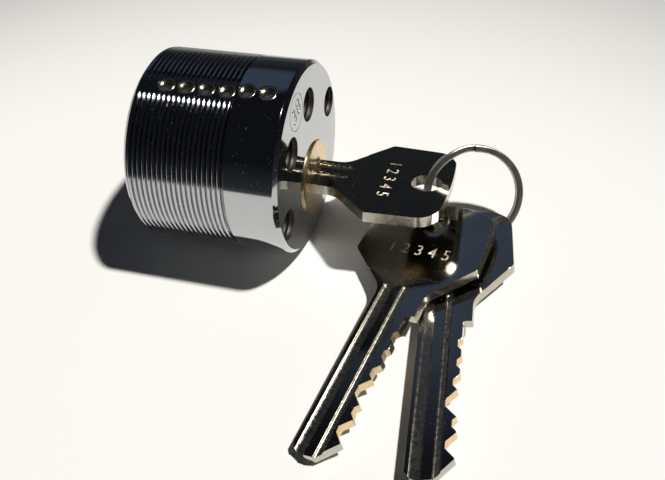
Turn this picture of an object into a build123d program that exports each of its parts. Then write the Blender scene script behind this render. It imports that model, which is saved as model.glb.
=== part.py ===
from build123d import *
from math import cos, pi, radians, sin, sqrt, tan
import os

os.makedirs("parts", exist_ok=True)

# Screw-in lock cylinder with a key in its plug and two spare keys on a split ring.
# Millimetres. The body's axis is Y and its front face looks towards -Y. +Z points up from
# the table that it lies on. The origin is on the axis, 5 mm behind the front face.

# Body
face_y = -5.0
body_length = 30.6
collar_radius = 18.92
collar_length = 10.2
face_chamfer = 0.8
back_chamfer = 0.6
runout_width = 0.8
runout_radius = 18.25
thread_pitch = 1.0
thread_depth = 0.61
thread_turns = 18

# Pin row, which leans from straight up towards -X
row_lean = 10.7
pin_count = 6
first_pin = 4.4
pin_pitch = 4.02
strip_width = 5.2
strip_floor = 18.28
chamber_radius = 1.55

# Blind holes in the face: across the pin row, and up along it
fixing_hole_place = (5.9, 9.1)
fixing_hole_radius = 3.2
fixing_hole_depth = 12.0
spanner_hole_place = (14.9, -1.0)
spanner_hole_radius = 3.0
spanner_hole_depth = 9.2

# Plug, turned anticlockwise from where its pins meet the row
plug_drop = 6.6
plug_turn = 65.1
plug_radius = 6.9
plug_proud = 0.5
head_radius = 7.5
head_seat = 2.4
running_gap = 0.04
tail_radius = 6.3
tail_length = 4.9
tail_flat = 4.8
clip_groove_radius = 5.6
clip_groove_y = 28.7
clip_groove_width = 1.0
keyway_end_y = 26.4
keyway_play = 0.08

# Pins, springs and the caps above them
pin_radius = 1.48
pin_bore_radius = 1.51
pin_bevel = 0.25
pin_tip_radius = 0.5
pin_tip_play = 0.03
key_pin_top = 6.72
driver_foot = 6.92
driver_length = 5.5
spring_coil_radius = 1.24
spring_wire_radius = 0.17
spring_turns = 8
spring_play = 0.03
cap_radius = 1.75
cap_seat_radius = 1.76
cap_bevel = 0.2
dish_radius = 1.25
dish_depth = 0.35
strip_cap_floor = 16.1
strip_cap_top = 18.2
collar_cap_floor = 16.7
collar_cap_top = 18.8

# Washer, cam and clip on the plug's tail
tail_play = 0.05
washer_radius = 9.2
washer_y = 25.75
washer_thickness = 0.8
cam_y = 26.6
cam_thickness = 2.0
cam_hub_radius = 8.6
cam_reach = 11.5
cam_width = 6.0
clip_radius = 7.4
clip_opening = 70.0
clip_play = 0.02

# Key, measured from its stop: back to the bow along its length, and out to the cuts across it
blade_half_width = 4.07
blade_thickness = 2.0
bow_thickness = 2.2
neck_length = 5.0
neck_half_width = 5.7
bow_step = 8.5
bow_wide = (12.8, 12.9)
bow_narrow = (24.5, 12.3)
bow_corner = (26.5, 9.0)
bow_end = 27.0
bow_corner_radius = 1.0
neck_fillet = 4.0
bow_hole = 22.2
bow_hole_radius = 3.0
blade_tip = [(-30.0, -4.07), (-30.9, -3.2), (-31.4, -1.4), (-31.2, 0.6), (-27.5, 4.07)]
first_cut = 4.9
cut_heights = [3.39, 3.41, 2.99, 1.85, 3.29, 2.4]
cut_flat = 0.6
front_grooves = [(-3.3, -1.2), (0.6, 1.97)]
back_groove = (-0.9, 0.3)
groove_depth = 0.5
groove_start = 6.5
key_offset = -1.25

# Spare keys: bow hole's centre, heading from +X, climb of the bow end, and roll about the blade
spare_keys = {
    "spare_key_1": ((-1.46, -30.07, -13.24), -11.46, 3.85, 11.2),
    "spare_key_2": ((-0.81, -32.88, -15.86), 7.2, -0.1, 8.3),
}

# Split ring
ring_centre = (5.36, -36.43, -10.2)
ring_normal = (-0.7485, -0.3688, 0.5511)
ring_step_towards = (0.4385, 0.3482, 0.8286)
ring_radius = 9.32
ring_wire_width = 1.36
ring_turn_thickness = 0.78
ring_turn_gap = 0.06
ring_step_angle = 34.0
ring_step_parts = 6
ring_edge = 0.25

# Worked out from the sizes above
back_y = face_y + body_length
collar_end = face_y + collar_length
thread_start = collar_end + runout_width
thread_root = collar_radius - thread_depth
plug_face_y = face_y - plug_proud
tail_start = back_y + 0.1
tail_end = tail_start + tail_length
pin_places = [face_y + first_pin + pin_pitch * i for i in range(pin_count)]


def leaning(angle):
    # Unit vector that leans from +Z towards -X by an angle in degrees
    return Vector(-sin(radians(angle)), 0, cos(radians(angle)))


row_up = leaning(row_lean)
row_side = leaning(row_lean - 90)
cuts_up = leaning(row_lean + plug_turn)
cuts_side = leaning(row_lean + plug_turn - 90)
plug_centre = row_up * -plug_drop


def across_body(y):
    # Plane across the body: x across the pin row, y up along it, facing the front
    return Plane(origin=(0, y, 0), x_dir=row_side, z_dir=(0, -1, 0))


def across_plug(y):
    # Plane across the plug: y towards the key's cuts, facing the front
    return Plane(origin=plug_centre + Vector(0, y, 0), x_dir=cuts_side, z_dir=(0, -1, 0))


def on_row(height):
    # Plane square to the driver pins, at a height above the body's axis
    return Plane(origin=row_up * height, x_dir=(0, 1, 0), z_dir=row_up)


def on_cuts(height):
    # Plane square to the key pins, at a height above the plug's axis
    return Plane(origin=plug_centre + cuts_up * height, x_dir=(0, 1, 0), z_dir=cuts_up)


def save(part, name):
    part.label = name
    export_step(part, f"parts/{name}.step")


def thread_outline():
    # Half outline of the body, as radius and distance along the axis
    flank = thread_depth * tan(radians(30))
    crest = thread_pitch / 8
    outline = [
        (0, face_y),
        (collar_radius - face_chamfer, face_y),
        (collar_radius, face_y + face_chamfer),
        (collar_radius, collar_end),
        (runout_radius, collar_end),
        (runout_radius, thread_start - 0.1),
        (thread_root, thread_start),
    ]
    for turn in range(thread_turns):
        foot = thread_start + 0.05 + turn * thread_pitch
        outline += [
            (thread_root, foot),
            (collar_radius, foot + flank),
            (collar_radius, foot + flank + crest),
            (thread_root, foot + 2 * flank + crest),
        ]
    outline += [
        (thread_root, back_y - back_chamfer),
        (thread_root - back_chamfer, back_y),
        (0, back_y),
    ]
    return outline


# Body
with BuildPart() as body:
    with BuildSketch(Plane.XY):
        with BuildLine():
            Polyline(*thread_outline(), close=True)
        make_face()
    revolve(axis=Axis.Y)
    with BuildSketch(on_row(strip_floor)):
        with Locations(((collar_end + back_y + 1) / 2, 0)):
            Rectangle(back_y + 1 - collar_end, strip_width)
    extrude(amount=collar_radius - strip_floor + 1, mode=Mode.SUBTRACT)
    with BuildSketch(across_body(face_y)):
        with Locations((0, -plug_drop)):
            Circle(plug_radius + running_gap)
    extrude(amount=-body_length, mode=Mode.SUBTRACT)
    with BuildSketch(across_body(face_y)):
        with Locations((0, -plug_drop)):
            Circle(head_radius + running_gap)
    extrude(amount=-head_seat, mode=Mode.SUBTRACT)
    with BuildSketch(across_body(face_y)):
        with Locations(fixing_hole_place, (-fixing_hole_place[0], fixing_hole_place[1])):
            Circle(fixing_hole_radius)
    extrude(amount=-fixing_hole_depth, mode=Mode.SUBTRACT)
    with BuildSketch(across_body(face_y)):
        with Locations(spanner_hole_place, (-spanner_hole_place[0], spanner_hole_place[1])):
            Circle(spanner_hole_radius)
    extrude(amount=-spanner_hole_depth, mode=Mode.SUBTRACT)
    with BuildSketch(on_row(0)):
        with Locations(*[(y, 0) for y in pin_places]):
            Circle(chamber_radius)
    extrude(amount=collar_radius, mode=Mode.SUBTRACT)
    with BuildSketch(on_row(strip_cap_floor)):
        with Locations(*[(y, 0) for y in pin_places if y > collar_end]):
            Circle(cap_seat_radius)
    extrude(amount=collar_radius - strip_cap_floor, mode=Mode.SUBTRACT)
    with BuildSketch(on_row(collar_cap_floor)):
        with Locations(*[(y, 0) for y in pin_places if y < collar_end]):
            Circle(cap_seat_radius)
    extrude(amount=collar_radius - collar_cap_floor, mode=Mode.SUBTRACT)
save(body.part, "body")


def plug_outline():
    # Half outline of the plug, as radius and distance along the axis
    neck_y = face_y + head_seat - running_gap
    return [
        (0, plug_face_y),
        (head_radius - 0.2, plug_face_y),
        (head_radius, plug_face_y + 0.2),
        (head_radius, neck_y),
        (plug_radius, neck_y),
        (plug_radius, tail_start),
        (tail_radius, tail_start),
        (tail_radius, clip_groove_y),
        (clip_groove_radius, clip_groove_y),
        (clip_groove_radius, clip_groove_y + clip_groove_width),
        (tail_radius, clip_groove_y + clip_groove_width),
        (tail_radius, tail_end - 0.3),
        (tail_radius - 0.3, tail_end),
        (0, tail_end),
    ]


# Plug: head, core with the keyway and the key pins' bores, and tail with two flats
with BuildPart() as plug:
    with BuildSketch(Plane(origin=plug_centre, x_dir=(1, 0, 0), z_dir=(0, 0, 1))):
        with BuildLine():
            Polyline(*plug_outline(), close=True)
        make_face()
    revolve(axis=Axis(plug_centre, (0, 1, 0)))
    with BuildSketch(across_plug(plug_face_y)):
        with Locations((0, key_offset)):
            Rectangle(blade_thickness + 2 * keyway_play, 2 * (blade_half_width + keyway_play))
        for low, high in front_grooves:
            with Locations((blade_thickness / 2 + keyway_play, key_offset + (low + high) / 2)):
                Rectangle(2 * groove_depth, high - low - 2 * keyway_play, mode=Mode.SUBTRACT)
        with Locations((-blade_thickness / 2 - keyway_play, key_offset + sum(back_groove) / 2)):
            Rectangle(
                2 * groove_depth,
                back_groove[1] - back_groove[0] - 2 * keyway_play,
                mode=Mode.SUBTRACT,
            )
    extrude(amount=plug_face_y - keyway_end_y, mode=Mode.SUBTRACT)
    with BuildSketch(on_cuts(0.2)):
        with Locations(*[(y, 0) for y in pin_places]):
            Circle(pin_bore_radius)
    extrude(amount=plug_radius, mode=Mode.SUBTRACT)
    with BuildSketch(across_plug(cam_y - 0.05)):
        with Locations((0, tail_flat + tail_radius), (0, -tail_flat - tail_radius)):
            Rectangle(4 * tail_radius, 2 * tail_radius)
    extrude(amount=-tail_length, mode=Mode.SUBTRACT)
save(plug.part, "plug")


def make_pin(name, plane, centre, up, outline):
    # Turned pin or cap: its half outline is spun about the line up from the centre
    with BuildPart() as pin:
        with BuildSketch(plane):
            with BuildLine():
                Polyline(*outline, close=True)
            make_face()
        revolve(axis=Axis(centre, up))
    save(pin.part, name)


def make_key_pin(number, y):
    # Pointed pin that stands in a cut of the key
    tip = cut_heights[number] + key_offset + pin_tip_play
    outline = [
        (0, tip),
        (pin_tip_radius, tip),
        (pin_radius, tip + pin_radius - pin_tip_radius),
        (pin_radius, key_pin_top - pin_bevel),
        (pin_radius - pin_bevel, key_pin_top),
        (0, key_pin_top),
    ]
    centre = plug_centre + Vector(0, y, 0)
    make_pin(f"key_pin_{number + 1}", across_plug(y), centre, cuts_up, outline)


def make_driver_pin(number, y):
    # Plain pin that stands on the plug, held down by its spring
    foot = driver_foot - plug_drop
    top = foot + driver_length
    outline = [
        (0, foot),
        (pin_radius - pin_bevel, foot),
        (pin_radius, foot + pin_bevel),
        (pin_radius, top - pin_bevel),
        (pin_radius - pin_bevel, top),
        (0, top),
    ]
    make_pin(f"driver_pin_{number + 1}", across_body(y), Vector(0, y, 0), row_up, outline)


def make_chamber_cap(number, y):
    # Disc pressed into the mouth of a chamber, with a dished top
    in_collar = y < collar_end
    floor = collar_cap_floor if in_collar else strip_cap_floor
    top = collar_cap_top if in_collar else strip_cap_top
    with BuildPart() as cap:
        with BuildSketch(across_body(y)):
            with BuildLine():
                Polyline(
                    (0, top - dish_depth),
                    (0, floor),
                    (cap_radius, floor),
                    (cap_radius, top - cap_bevel),
                    (cap_radius - cap_bevel, top),
                    (dish_radius, top),
                )
                TangentArc((0, top - dish_depth), (dish_radius, top), tangent=(1, 0))
            make_face()
        revolve(axis=Axis(Vector(0, y, 0), row_up))
    save(cap.part, f"chamber_cap_{number + 1}")


def biarc_middle(start, start_way, end, end_way):
    # Point where the two tangent arcs that join two points and two ways meet
    across = end - start
    ways = start_way + end_way
    spread = 2 * (1 - start_way.dot(end_way))
    reach = (sqrt(across.dot(ways) ** 2 + spread * across.dot(across)) - across.dot(ways)) / spread
    first = start + start_way * reach
    last = end - end_way * reach
    return (first + last) * 0.5, (last - first).normalized()


def make_spring(number, y):
    # Coil spring between a driver pin and its cap: one tube along quarter turns of a helix
    foot = driver_foot - plug_drop + driver_length + spring_play + spring_wire_radius
    floor = collar_cap_floor if y < collar_end else strip_cap_floor
    rise = floor - spring_play - spring_wire_radius - foot
    quarters = 4 * spring_turns

    def coil_point(quarter):
        turn = pi / 2 * quarter
        flat = row_side * cos(turn) + Vector(0, 1, 0) * sin(turn)
        return Vector(0, y, 0) + flat * spring_coil_radius + row_up * (foot + rise * quarter / quarters)

    def coil_way(quarter):
        turn = pi / 2 * quarter
        flat = Vector(0, 1, 0) * cos(turn) - row_side * sin(turn)
        climb = rise / quarters / (pi / 2 * spring_coil_radius)
        return (flat + row_up * climb).normalized()

    first = coil_point(0)
    last = coil_point(quarters)
    with BuildPart() as spring:
        with BuildLine():
            Line(first - coil_way(0) * 2 * spring_wire_radius, first)
            for quarter in range(quarters):
                start = coil_point(quarter)
                end = coil_point(quarter + 1)
                middle, middle_way = biarc_middle(start, coil_way(quarter), end, coil_way(quarter + 1))
                TangentArc(start, middle, tangent=coil_way(quarter))
                TangentArc(middle, end, tangent=middle_way)
            Line(last, last + coil_way(quarters) * 2 * spring_wire_radius)
        with BuildSketch(Plane(origin=first - coil_way(0) * 2 * spring_wire_radius, z_dir=coil_way(0))):
            Circle(spring_wire_radius)
        sweep()
    save(spring.part, f"pin_spring_{number + 1}")


for number, y in enumerate(pin_places):
    make_key_pin(number, y)
    make_driver_pin(number, y)
    make_chamber_cap(number, y)
    make_spring(number, y)

# Thrust washer between the body's back and the cam
with BuildPart() as washer:
    with BuildSketch(across_plug(washer_y)):
        Circle(washer_radius)
        Circle(tail_radius + tail_play, mode=Mode.SUBTRACT)
    extrude(amount=-washer_thickness)
save(washer.part, "thrust_washer")

# Cam: hub with a hole that fits the tail's flats, and an arm that throws the bolt
with BuildPart() as cam:
    with BuildSketch(across_plug(cam_y)):
        Circle(cam_hub_radius)
        with Locations((0, -cam_reach / 2)):
            Rectangle(cam_width, cam_reach)
        with BuildSketch(mode=Mode.PRIVATE) as tail_hole:
            Circle(tail_radius + tail_play)
            Rectangle(4 * tail_radius, 2 * (tail_flat + tail_play), mode=Mode.INTERSECT)
        add(tail_hole.sketch, mode=Mode.SUBTRACT)
    extrude(amount=-cam_thickness)
    fillet(cam.edges().filter_by(Axis.Y).group_by(SortBy.DISTANCE)[-1], radius=1.0)
save(cam.part, "cam")

# Retaining ring in the tail's groove
with BuildPart() as clip:
    with BuildSketch(across_plug(clip_groove_y + clip_play)):
        Circle(clip_radius)
        Circle(clip_groove_radius + clip_play, mode=Mode.SUBTRACT)
        with BuildLine():
            half = radians(clip_opening / 2)
            far = 2 * clip_radius
            Polyline((0, 0), (far, far * tan(half)), (far, -far * tan(half)), close=True)
        make_face(mode=Mode.SUBTRACT)
    extrude(amount=2 * clip_play - clip_groove_width)
save(clip.part, "cam_clip")


def bow_outline():
    # Key from its neck to the bow's end, as points; the end itself is an arc
    side = [bow_wide, bow_narrow, bow_corner]
    return (
        [(0, -blade_half_width), (neck_length, -blade_half_width)] + [(u, -v) for u, v in side],
        [(u, v) for u, v in reversed(side)] + [(neck_length, neck_half_width), (0, neck_half_width)],
    )


def draw_bow():
    # Sketch of neck and bow, with the neck's fillets and the bow's rounded corners
    near_side, cut_side = bow_outline()
    with BuildSketch(mode=Mode.PRIVATE) as outline:
        with BuildLine():
            Polyline(*near_side)
            ThreePointArc(near_side[-1], (bow_end, 0), cut_side[0])
            Polyline(*cut_side)
            Line(cut_side[-1], near_side[0])
        make_face()
        corners = outline.vertices().filter_by(lambda corner: corner.X > neck_length + 1)
        fillet(corners, radius=bow_corner_radius)
        necks = outline.vertices().filter_by(lambda corner: abs(corner.X - neck_length) < 0.1)
        fillet(necks, radius=neck_fillet)
    return outline.sketch


def make_key(name, seat):
    # Key on a plane at its stop: x to the bow, y to the cuts, and its number looks along -z
    with BuildPart() as key:
        with BuildSketch(seat.offset(-blade_thickness / 2)):
            add(draw_bow())
            with BuildLine():
                Polyline((1, -blade_half_width), *blade_tip, (0, blade_half_width), (1, 0), close=True)
            make_face()
            for number, height in enumerate(cut_heights):
                place = -first_cut - number * pin_pitch
                depth = blade_half_width + 0.5 - height
                with BuildLine():
                    Polyline(
                        (place - cut_flat, height),
                        (place + cut_flat, height),
                        (place + cut_flat + depth, height + depth),
                        (place - cut_flat - depth, height + depth),
                        close=True,
                    )
                make_face(mode=Mode.SUBTRACT)
        extrude(amount=blade_thickness)
        with BuildSketch(seat.offset(-bow_thickness / 2)):
            add(draw_bow())
            with Locations((bow_step - bow_end / 2, 0)):
                Rectangle(bow_end, 2 * bow_end, mode=Mode.SUBTRACT)
        extrude(amount=bow_thickness)
        with BuildSketch(seat.offset(-bow_thickness / 2)):
            with Locations((bow_hole, 0)):
                Circle(bow_hole_radius)
        extrude(amount=bow_thickness, mode=Mode.SUBTRACT)
        with BuildSketch(seat.offset(-blade_thickness / 2)):
            for low, high in front_grooves:
                draw_groove(low, high)
        extrude(amount=groove_depth, mode=Mode.SUBTRACT)
        with BuildSketch(seat.offset(blade_thickness / 2)):
            draw_groove(*back_groove)
        extrude(amount=-groove_depth, mode=Mode.SUBTRACT)
    save(key.part, name)


def draw_groove(low, high):
    # Groove that runs out of the blade's tip and ends round at the neck
    radius = (high - low) / 2
    length = groove_start - radius - 2 * blade_tip[0][0]
    middle = (low + high) / 2
    with Locations((groove_start - radius - length / 2, middle)):
        Rectangle(length, high - low)
    with Locations((groove_start - radius, middle)):
        Circle(radius)


def spare_seat(hole, heading, climb, roll):
    # Plane at the stop of a key that lies with its bow hole at a point
    heading, climb, roll = radians(heading), radians(climb), radians(roll)
    to_bow = Vector(cos(climb) * cos(heading), cos(climb) * sin(heading), sin(climb))
    level = Vector(sin(heading), -cos(heading), 0)
    face = level.cross(to_bow) * cos(roll) - level * sin(roll)
    return Plane(origin=Vector(*hole) - to_bow * bow_hole, x_dir=to_bow, z_dir=-face)


key_stop = plug_centre + cuts_up * key_offset + Vector(0, plug_face_y, 0)
make_key("key_in_plug", Plane(origin=key_stop, x_dir=(0, -1, 0), z_dir=-cuts_side))
for name, (hole, heading, climb, roll) in spare_keys.items():
    make_key(name, spare_seat(hole, heading, climb, roll))

ring_plane = Plane(origin=ring_centre, x_dir=ring_step_towards, z_dir=ring_normal)
half_step = ring_step_angle / 2
turn_height = (ring_turn_thickness + ring_turn_gap) / 2


def ring_section(angle, height):
    # Section of the ring's wire at an angle from the step, at a height above the ring's plane
    way = radians(angle)
    out = ring_plane.x_dir * cos(way) + ring_plane.y_dir * sin(way)
    centre = ring_plane.origin + out * ring_radius + ring_plane.z_dir * height
    along = ring_plane.y_dir * cos(way) - ring_plane.x_dir * sin(way)
    return Plane(origin=centre, x_dir=out, z_dir=along)


# Split ring: a lower and an upper turn, each open at the step, and the step that joins them
with BuildPart() as ring:
    for height in (-turn_height, turn_height):
        with BuildSketch(ring_section(half_step, height)):
            RectangleRounded(ring_wire_width, ring_turn_thickness, ring_edge)
        revolve(axis=Axis(ring_plane.origin, ring_plane.z_dir), revolution_arc=360 - ring_step_angle)
    for part in range(ring_step_parts + 1):
        share = part / ring_step_parts
        rise = (1 - cos(pi * share)) / 2
        with BuildSketch(ring_section((2 * share - 1) * half_step, (2 * rise - 1) * turn_height)):
            RectangleRounded(ring_wire_width, ring_turn_thickness, ring_edge)
    loft(ruled=True)
save(ring.part, "key_ring")
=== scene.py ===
from math import cos, hypot, radians, sin, tau

import bmesh
import bpy
from mathutils import Matrix, Vector


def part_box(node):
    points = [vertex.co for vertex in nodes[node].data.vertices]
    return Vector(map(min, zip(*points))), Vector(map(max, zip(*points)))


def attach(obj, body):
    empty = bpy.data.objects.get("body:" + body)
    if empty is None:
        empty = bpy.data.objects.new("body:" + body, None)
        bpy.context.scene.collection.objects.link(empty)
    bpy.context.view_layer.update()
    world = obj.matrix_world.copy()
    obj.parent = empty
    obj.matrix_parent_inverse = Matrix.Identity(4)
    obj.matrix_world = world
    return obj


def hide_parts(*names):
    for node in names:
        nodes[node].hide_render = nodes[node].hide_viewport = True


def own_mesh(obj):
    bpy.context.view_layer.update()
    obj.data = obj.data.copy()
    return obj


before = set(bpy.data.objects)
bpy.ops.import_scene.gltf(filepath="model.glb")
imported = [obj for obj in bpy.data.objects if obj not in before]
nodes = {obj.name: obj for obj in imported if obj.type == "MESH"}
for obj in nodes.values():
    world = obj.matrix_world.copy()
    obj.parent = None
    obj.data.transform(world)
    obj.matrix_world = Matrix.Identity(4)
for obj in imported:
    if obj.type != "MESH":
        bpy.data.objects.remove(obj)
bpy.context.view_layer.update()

mm = 0.001
scene = bpy.context.scene
print("frame loaded:", len(nodes), "nodes")

# Places that several pieces share, all from the frame
bodyLow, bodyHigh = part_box("body")
plugLow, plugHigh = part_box("plug")
tableZ = bodyLow.z
bodyRadius = bodyHigh.z
faceY = bodyLow.y
backY = bodyHigh.y
plugAxis = Vector(((plugLow.x + plugHigh.x) / 2, 0, (plugLow.z + plugHigh.z) / 2))
rowUp = -plugAxis.normalized()  # the pin row stands over the plug
rowSide = Vector((rowUp.z, 0, -rowUp.x))
lengthways = Vector((0, 1, 0))


def hexToLinear(code):
    # sRGB hex to linear red, green, blue and alpha
    channels = [int(code[i:i + 2], 16) / 255 for i in (1, 3, 5)]
    linear = [c / 12.92 if c <= 0.04045 else ((c + 0.055) / 1.055) ** 2.4 for c in channels]
    return (*linear, 1)


def addNode(tree, kind, inputs=(), **settings):
    # Inputs are values, sockets or nodes, in the node's order or by name; a node gives its first output
    node = tree.nodes.new(kind)
    for key, value in settings.items():
        setattr(node, key, value)
    for key, value in inputs.items() if isinstance(inputs, dict) else enumerate(inputs):
        if isinstance(value, bpy.types.Node):
            value = value.outputs[0]
        if isinstance(value, bpy.types.NodeSocket):
            tree.links.new(value, node.inputs[key])
        else:
            node.inputs[key].default_value = value
    return node


colourA, colourB, colourOut = 6, 7, 2  # the sockets of a Mix node that carry colours


def newObject(name, data):
    obj = bpy.data.objects.new(name, data)
    scene.collection.objects.link(obj)
    return obj


def finishPiece(obj, body, slot, *replaced, angle, flatSides=False):
    # Smooth shading with sharp corners, then the frame's calls
    obj.data.shade_smooth()
    obj.data.set_sharp_from_angle(angle=radians(angle))
    if flatSides:
        # Large sides keep their own direction, and only the narrow edges turn the light
        weigh = obj.modifiers.new("normals", "WEIGHTED_NORMAL")
        weigh.keep_sharp = True
        bakeModifiers(obj)
    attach(obj, body)
    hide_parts(*replaced)


def evaluatedMesh(obj):
    # The mesh that an object's modifiers make
    graph = bpy.context.evaluated_depsgraph_get()
    return bpy.data.meshes.new_from_object(obj.evaluated_get(graph), depsgraph=graph)


def bakeModifiers(obj):
    mesh = evaluatedMesh(obj)
    obj.modifiers.clear()
    obj.data = mesh


# Camera at the photograph's place, in mm; focal length in pixels of the 665 x 480 frame
cameraPlace = {
    "place": (-115.92, -54.61, 118.21),
    "view": (0.6077, 0.2628, -0.7495),
    "up": (0.7437, 0.1428, 0.6531),
    "focalPixels": 880,
    "widthPixels": 665,
    "centrePixel": 320,
    "sensorWidth": 36,
    "seenRange": (0.01, 10),  # nearest and furthest, in metres
}


def makeCamera(c):
    data = bpy.data.cameras.new("camera")
    data.sensor_width = c["sensorWidth"]
    data.lens = c["sensorWidth"] * c["focalPixels"] / c["widthPixels"]
    data.shift_x = 0.5 - c["centrePixel"] / c["widthPixels"]
    data.clip_start, data.clip_end = c["seenRange"]
    camera = newObject("camera", data)
    back = -Vector(c["view"]).normalized()
    right = Vector(c["up"]).cross(back).normalized()
    up = back.cross(right)
    camera.matrix_world = Matrix.LocRotScale(
        Vector(c["place"]) * mm, Matrix((right, up, back)).transposed(), None
    )
    scene.camera = camera


makeCamera(cameraPlace)
scene.view_settings.view_transform = "Standard"
print("camera set")

# Studio: one high lamp in front of the face, a dark room with a dim blue window, a pale table whose colour
# is painted as a pool of light, fading to dark grey further out
studio = {
    "towardsLamp": (0.089, -0.445, 0.891),
    "lampStrength": 3.45,
    "lampAngle": 3.2,
    "lampColour": "#FFFCF7",
    "roomTop": "#17191D",
    "roomSides": "#35383C",
    "topClimb": 0.5,  # sine of the angle above level where the top's colour is reached
    "windowColour": "#465063",
    "towardsWindow": (0.70, 0.36, 0.62),
    "windowEdge": (0.93, 0.985),  # cosines of the angles off its middle
    "tableColour": "#FDFDFB",
    # The table's colour is pale only in a disc and fades to dark grey beyond it: a painted pool of light,
    # the dark grey standing in for the unlit room past the table's end
    "paintedTableShade": "#3E4042",
    "tableRoughness": 0.75,
    "tableSize": 3.0,  # in metres, as are the next three
    "litPoolCentre": (-0.095, 0.0),
    "litPoolRadius": 0.128,
    "litPoolFadeWidth": 0.16,
}


def makeLamp(s):
    lamp = bpy.data.lights.new("sun", "SUN")
    lamp.energy = s["lampStrength"]
    lamp.angle = radians(s["lampAngle"])
    lamp.color = hexToLinear(s["lampColour"])[:3]
    sun = newObject("sun", lamp)
    sun.rotation_euler = Vector(s["towardsLamp"]).to_track_quat("Z", "Y").to_euler()


def makeRoom(s):
    world = bpy.data.worlds.new("room")
    scene.world = world
    world.use_nodes = True
    tree = world.node_tree
    tree.nodes.clear()
    sides, top, glow = (hexToLinear(s[name]) for name in ("roomSides", "roomTop", "windowColour"))
    way = addNode(tree, "ShaderNodeTexCoord").outputs["Generated"]
    up = addNode(tree, "ShaderNodeSeparateXYZ", [way]).outputs["Z"]
    climb = addNode(tree, "ShaderNodeMapRange", (up, 0.0, s["topClimb"], 0.0, 1.0))
    room = addNode(tree, "ShaderNodeMix", {0: climb, colourA: sides, colourB: top}, data_type="RGBA")
    window = Vector(s["towardsWindow"]).normalized()
    nearness = addNode(tree, "ShaderNodeVectorMath", (way, window), operation="DOT_PRODUCT")
    inWindow = addNode(
        tree, "ShaderNodeMapRange", (nearness.outputs["Value"], *s["windowEdge"], 0.0, 1.0),
        interpolation_type="SMOOTHSTEP",
    )
    lit = addNode(
        tree, "ShaderNodeMix", {0: inWindow, colourA: room.outputs[colourOut], colourB: glow},
        data_type="RGBA",
    )
    shade = addNode(tree, "ShaderNodeBackground", {"Color": lit.outputs[colourOut]})
    addNode(tree, "ShaderNodeOutputWorld", {"Surface": shade})


def makeTable(s):
    mesh = bpy.data.meshes.new("table")
    half = s["tableSize"] / 2
    mesh.from_pydata(
        [(-half, -half, tableZ), (half, -half, tableZ), (half, half, tableZ), (-half, half, tableZ)],
        [], [(0, 1, 2, 3)],
    )
    table = newObject("table", mesh)
    paper = bpy.data.materials.new("tablePaintedLitPool")
    paper.use_nodes = True
    tree = paper.node_tree
    shader = tree.nodes["Principled BSDF"]
    shader.inputs["Roughness"].default_value = s["tableRoughness"]
    # Painted pool of light: the table's own pale colour near the pool's centre, fading to a painted dark
    # grey further out
    near, far = hexToLinear(s["tableColour"]), hexToLinear(s["paintedTableShade"])
    place = addNode(tree, "ShaderNodeTexCoord").outputs["Object"]
    centre = (*s["litPoolCentre"], tableZ)
    away = addNode(tree, "ShaderNodeVectorMath", (place, centre), operation="DISTANCE").outputs["Value"]
    ends = s["litPoolRadius"], s["litPoolRadius"] + s["litPoolFadeWidth"]
    fade = addNode(tree, "ShaderNodeMapRange", (away, *ends, 0.0, 1.0), interpolation_type="SMOOTHSTEP")
    colour = addNode(tree, "ShaderNodeMix", {0: fade, colourA: near, colourB: far}, data_type="RGBA")
    tree.links.new(colour.outputs[colourOut], shader.inputs["Base Color"])
    mesh.materials.append(paper)


makeLamp(studio)
makeRoom(studio)
makeTable(studio)
print("studio ready")


mostOfNoise = 0.3, 0.7  # nearly all values of a noise lie between these
peaksOfNoise = 0.70, 0.76  # only a few small spots rise above these


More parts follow.
